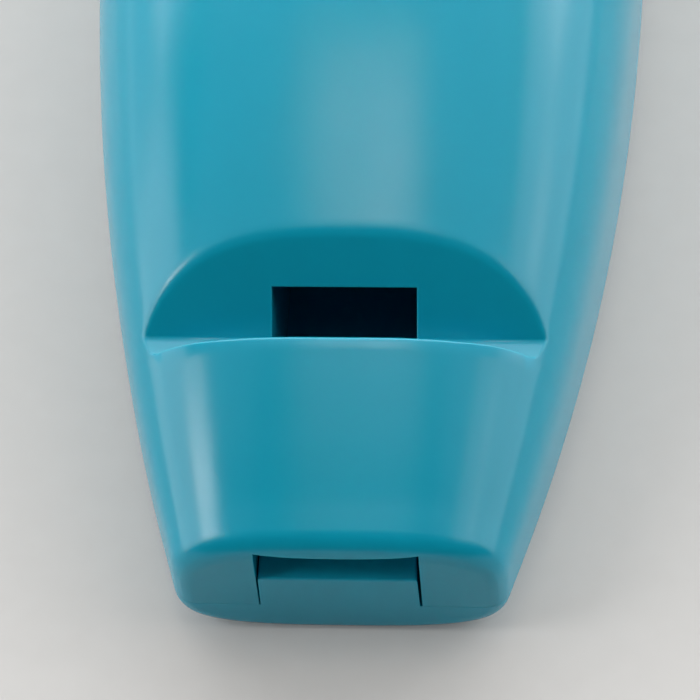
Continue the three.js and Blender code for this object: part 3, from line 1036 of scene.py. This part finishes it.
base = Pattern()
base_rows = np.concatenate([MOUTH_ROWS, np.linspace(MOUTH_ROWS[-1], BASE_LENGTH, BASE_ROWS + 1)[1:]])
base_shares = np.linspace(0, 1, BASE_COLUMNS + 1)
lower = [
    base.outside(s - (math.pi + 2 * s) * base_shares, y) for y, s in zip(base_rows, seam_turn(base_rows))]
base.grid(lower)
left_head, left_foot = LEFT_SLIT
right_head, right_foot = RIGHT_SLIT
low_fr, low_fl, low_rl, low_rr = base.inside(
    (SLOT_HALF - right_foot, 0, SEAM), (left_foot - SLOT_HALF, 0, SEAM),
    (left_foot - HOLE_HALF, ROOF_LENGTH, SEAM), (HOLE_HALF - right_foot, ROOF_LENGTH, SEAM))
top_fr, top_fl, top_rl, top_rr = base.inside(
    (SLOT_HALF - right_head, 0, TONGUE_LEVEL), (left_head - SLOT_HALF, 0, TONGUE_LEVEL),
    (left_head - HOLE_HALF, ROOF_LENGTH, floor_level), (HOLE_HALF - right_head, ROOF_LENGTH, floor_level))
base_right = [row[0] for row in lower]
base_left = [row[-1] for row in lower]
base.face(lower[0], [low_fl, top_fl, top_fr, low_fr])
base.face(lower[-1])
base.face(base_right, base_left[::-1], [low_fl, low_rl, low_rr, low_fr])
base.face([top_fr, top_fl, top_rl, top_rr])
base.face([low_fr, top_fr, top_rr, low_rr])
base.face([low_fl, top_fl, top_rl, low_rl])
base.face([low_rr, top_rr, top_rl, low_rl])
print("base pattern:", len(base.corners), "corners,", len(base.faces), "faces")

# %% Edges of the base plate
TONGUE_TOP_RADIUS = 0.1
TONGUE_SIDE_RADIUS = 0.05

base.soften([low_fl, top_fl], TONGUE_SIDE_RADIUS)
base.soften([low_fr, top_fr], TONGUE_SIDE_RADIUS)
base.soften([top_rl, top_fl, top_fr, top_rr], TONGUE_TOP_RADIUS)
for line in (base_right, base_left, [low_fl, base_left[0]], [low_fr, base_right[0]], lower[-1]):
    base.soften(line, SEAM_RADIUS)

base_plate = pattern_object("base_plate_moulding", base, base_plastic)
base_plate.data.transform(TO_FRAME)
smooth(base_plate)
report(base_plate)

# %% [markdown]
# The split ring is flat spring wire wound twice, changing level once in a short joggle, so it follows a
# path. Its tree sets the points of a line on that path and sweeps a rounded bar along it. It is wound
# flat about Z and then hung in the eye, lying back until its far side meets the floor.

# %% The split ring
RING_INSIDE_BODY = 0.25
CORNER_STEPS = 4
RING = {
    "Ring Radius": (OUTSIDE["Body Width"] - WIRE_WIDTH) / 2 - RING_INSIDE_BODY,
    "Wire Width": WIRE_WIDTH,
    "Wire Thickness": WIRE_THICKNESS,
    "Turn Pitch": turn_pitch,
    "Joggle Angle": math.radians(50),
    "Edge Round": 0.28,
    "Path Points": 360.0,
}
ring_tree, given = new_geometry_tree("split_ring_wire", RING)


def build_ring(tree):
    start = times(tree, given["Joggle Angle"], 0.5)
    finish = minus(tree, 4 * math.pi, start)
    share = add_node(tree, "GeometryNodeSplineParameter").outputs["Factor"]
    angle = between(tree, start, finish, share)
    joggle = add_node(tree, "ShaderNodeMapRange", {
        "Value": angle,
        "From Min": minus(tree, 2 * math.pi, start),
        "From Max": plus(tree, 2 * math.pi, start),
        "To Min": -0.5,
        "To Max": 0.5,
    }, interpolation_type="SMOOTHSTEP")
    x = times(tree, given["Ring Radius"], calc(tree, "SINE", angle))
    y = times(tree, given["Ring Radius"], calc(tree, "COSINE", angle))
    z = times(tree, given["Turn Pitch"], joggle.outputs[0])
    line = add_node(tree, "GeometryNodeCurvePrimitiveLine").outputs[0]
    points = add_node(tree, "GeometryNodeResampleCurve", {"Curve": line, "Count": given["Path Points"]})
    path = add_node(tree, "GeometryNodeSetPosition", {
        "Geometry": points.outputs[0],
        "Position": add_node(tree, "ShaderNodeCombineXYZ", {0: x, 1: y, 2: z}).outputs[0],
    })
    marked = add_node(tree, "GeometryNodeStoreNamedAttribute", {
        "Geometry": path.outputs[0], "Name": "wire_along",
        "Value": times(tree, given["Ring Radius"], angle),
    }, data_type="FLOAT", domain="POINT")
    upright = add_node(tree, "GeometryNodeSetCurveNormal", {"Curve": marked.outputs[0]}, mode="Z_UP")
    bar = add_node(tree, "GeometryNodeCurvePrimitiveQuadrilateral", {
        "Width": given["Wire Width"], "Height": given["Wire Thickness"]}).outputs[0]
    rounded = add_node(tree, "GeometryNodeFilletCurve", {
        "Curve": bar, "Count": CORNER_STEPS, "Radius": given["Edge Round"], "Limit Radius": True,
    }, mode="POLY")
    section = add_node(tree, "GeometryNodeStoreNamedAttribute", {
        "Geometry": rounded.outputs[0], "Name": "wire_section",
        "Value": add_node(tree, "GeometryNodeInputPosition").outputs[0],
    }, data_type="FLOAT_VECTOR", domain="POINT")
    wire = add_node(tree, "GeometryNodeCurveToMesh", {
        "Curve": upright.outputs[0], "Profile Curve": section.outputs[0], "Fill Caps": True})
    close_tree(tree, wire.outputs[0], given["Material"])


build_ring(ring_tree)

# %% Winding and hanging the ring
JOGGLE_FROM_FAR_SIDE = math.radians(75)
RING_FLOOR_GAP = 0.02

ring_depth = turn_pitch + WIRE_THICKNESS
ring_reach = 2 * RING["Ring Radius"] + WIRE_WIDTH / 2
ring_droop = (math.asin((OUTSIDE["Eye Height"] - RING_FLOOR_GAP) / math.hypot(ring_reach, ring_depth / 2))
              - math.atan2(ring_depth / 2, ring_reach))
split_ring = linked("split_ring_wire", bpy.data.meshes.new("split_ring_wire"))
add_tree(split_ring, ring_tree, RING, ring_steel)
settle(split_ring)
turn_outwards(split_ring.data)
print("wound ring is", [round(value, 2) for value in split_ring.dimensions], "mm")
hang = (
    TO_FRAME
    @ Matrix.Translation((0, eye_at, OUTSIDE["Eye Height"]))
    @ Matrix.Rotation(-ring_droop, 4, "X")
    @ Matrix.Translation((0, RING["Ring Radius"], 0))
    @ Matrix.Rotation(JOGGLE_FROM_FAR_SIDE, 4, "Z")
)
split_ring.data.transform(hang)
smooth(split_ring)
report(split_ring)

# %% [markdown]
# The pieces are done. Each one is told which body it rides on when a pose moves the joints, and which
# packed solid it replaces; the table also names which slot of the record its finish belongs to.

# %% The pieces take their places
for thing, body_name, node, slot in (
    (upper_shell, "whistle_body", "upper_shell", "shell_plastic"),
    (base_plate, "whistle_body", "base_plate", "base_plastic"),
    (split_ring, "ring", "split_ring", "ring_steel"),
):
    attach(thing, body_name)
    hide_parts(node)
    print(thing.name, "rides on", body_name, "and replaces", node)

# %% [markdown]
# The stage is a plain pale floor. Close to the whistle the lamps give it nearly all of its tone, so it
# keeps the shadow. Further off, where the lamps no longer reach, a tone of its own takes over for the
# camera and for reflections, and the floor stays pale as far as it can be seen.

# %% Floor
FLOOR_RADIUS = 1.6
FLOOR_CORNERS = 96
FLOOR_GAP = 0.00002
FLOOR_OWN_TONE = 0.18
LIT_REACH = (0.15, 0.5)
PAPER_FIBRES = 900.0
PAPER_TONES = (0.555, 0.55, 0.54), (0.585, 0.58, 0.57)
PAPER_ROUGHNESS = 0.8
PAPER_GLOSS = 0.2

bpy.ops.mesh.primitive_circle_add(
    vertices=FLOOR_CORNERS, radius=FLOOR_RADIUS, fill_type="NGON", location=(0, 0, -FLOOR_GAP))
floor = bpy.context.object
floor.name = "floor"


def seen_by(tree, *rays):
    path = add_node(tree, "ShaderNodeLightPath").outputs
    seen = path[f"Is {rays[0]} Ray"]
    for ray in rays[1:]:
        seen = calc(tree, "MAXIMUM", seen, path[f"Is {ray} Ray"])
    return seen


floor_paper, tree, shader = new_material("floor_paper")
place = add_node(tree, "ShaderNodeTexCoord").outputs["Object"]
fibres = noise(tree, place, PAPER_FIBRES, detail=4.0)
distance = add_node(tree, "ShaderNodeVectorMath", {0: place}, operation="LENGTH").outputs["Value"]
own_share = fade(tree, distance, *LIT_REACH, FLOOR_OWN_TONE, 1.0)
paper = blended(tree, fibres, *PAPER_TONES)
plug(tree, shader["Base Color"], paper)
shader["Roughness"].default_value = PAPER_ROUGHNESS
shader["Specular IOR Level"].default_value = PAPER_GLOSS
own_tone = add_node(tree, "ShaderNodeEmission", {"Color": paper})
both = add_node(tree, "ShaderNodeMixShader", {
    0: times(tree, seen_by(tree, "Camera", "Glossy", "Transmission"), own_share),
    1: tree.nodes["Principled BSDF"].outputs[0],
    2: own_tone.outputs[0],
})
plug(tree, tree.nodes["Material Output"].inputs["Surface"], both.outputs[0])
floor.data.materials.append(floor_paper)
print("floor radius", FLOOR_RADIUS, "m")

# %% [markdown]
# The light is soft, as in a small light tent. A broad panel stands behind, a cloth hangs on each side,
# and weaker ones slant over the top. Two warm lamps overhead draw the pale band along the crown, small
# bright ones at the sides draw the streaks on the shoulders, and a dim low panel on the camera's side
# keeps the end face from going dark. Each is a rectangular area lamp. Its brightness is written as a
# radiance, and the lamp's power follows from its area.

# %% Lamps
LAMP_DISTANCE = 0.6
LIT_POINT = Vector((0.0, -0.017, 0.006))
NEUTRAL = (1.0, 1.0, 1.0)
WARM = (1.0, 0.78, 0.6)
LAMPS = {
    # name: azimuth from the back, elevation, width, height (degrees), radiance, colour
    "back_panel": (0, 33, 106, 54, 3.25, NEUTRAL),
    "overhead": (-8, 81, 8, 15, 5.4, WARM),
    "zenith": (180, 86, 16, 12, 1.3, WARM),
    "left_top": (-62, 66, 36, 24, 0.55, NEUTRAL),
    "right_top": (66, 68, 36, 24, 0.75, NEUTRAL),
    "left_bright": (-102, 47, 12, 14, 8.5, NEUTRAL),
    "left_cloth": (-92, 20, 36, 48, 2.7, NEUTRAL),
    "left_back": (-66, 12, 18, 44, 1.1, NEUTRAL),
    "right_bright": (79, 34, 8, 12, 1.8, NEUTRAL),
    "right_cloth": (79, 28, 44, 50, 2.1, NEUTRAL),
    "right_high": (106, 55, 15, 14, 1.9, NEUTRAL),
    "front_low": (180, 8, 120, 26, 0.32, NEUTRAL),
}


def add_lamp(name, azimuth, elevation, width, height, radiance, colour):
    around, up = math.radians(azimuth), math.radians(elevation)
    towards = Vector((math.sin(around) * math.cos(up), math.cos(around) * math.cos(up), math.sin(up)))
    lamp = bpy.data.lights.new(name, "AREA")
    lamp.shape = "RECTANGLE"
    lamp.size = 2 * LAMP_DISTANCE * math.tan(math.radians(width / 2))
    lamp.size_y = 2 * LAMP_DISTANCE * math.tan(math.radians(height / 2))
    lamp.energy = math.pi * lamp.size * lamp.size_y * radiance
    lamp.color = colour
    thing = linked(name, lamp)
    thing.location = LIT_POINT + towards * LAMP_DISTANCE
    thing.rotation_euler = towards.to_track_quat("Z", "Y").to_euler()
    thing.visible_camera = False
    return lamp.energy


powers = {name: round(add_lamp(name, *values), 3) for name, values in LAMPS.items()}
print("lamps", powers)

# %% [markdown]
# The world is a dim fill. The camera sees it as pale as the floor, so no horizon shows. Reflections see
# that pale tone at the horizon, and it darkens overhead, where a real room would hold the lamps and no
# cloth.

# %% World
FILL = 0.02
BACKDROP = 0.57
HORIZON = (0.02, 0.2)

world = bpy.data.worlds.new("studio")
bpy.context.scene.world = world
world.use_nodes = True
tree = world.node_tree
ray = add_node(tree, "ShaderNodeSeparateXYZ", {0: add_node(tree, "ShaderNodeTexCoord").outputs["Generated"]})
reflected = fade(tree, ray.outputs[2], *HORIZON, BACKDROP, FILL)
tone = between(tree, FILL, reflected, seen_by(tree, "Glossy", "Transmission"))
tone = between(tree, tone, BACKDROP, seen_by(tree, "Camera"))
plug(tree, tree.nodes["Background"].inputs["Color"], tone)
bpy.context.scene.view_settings.view_transform = "Standard"
print("world fill", FILL)
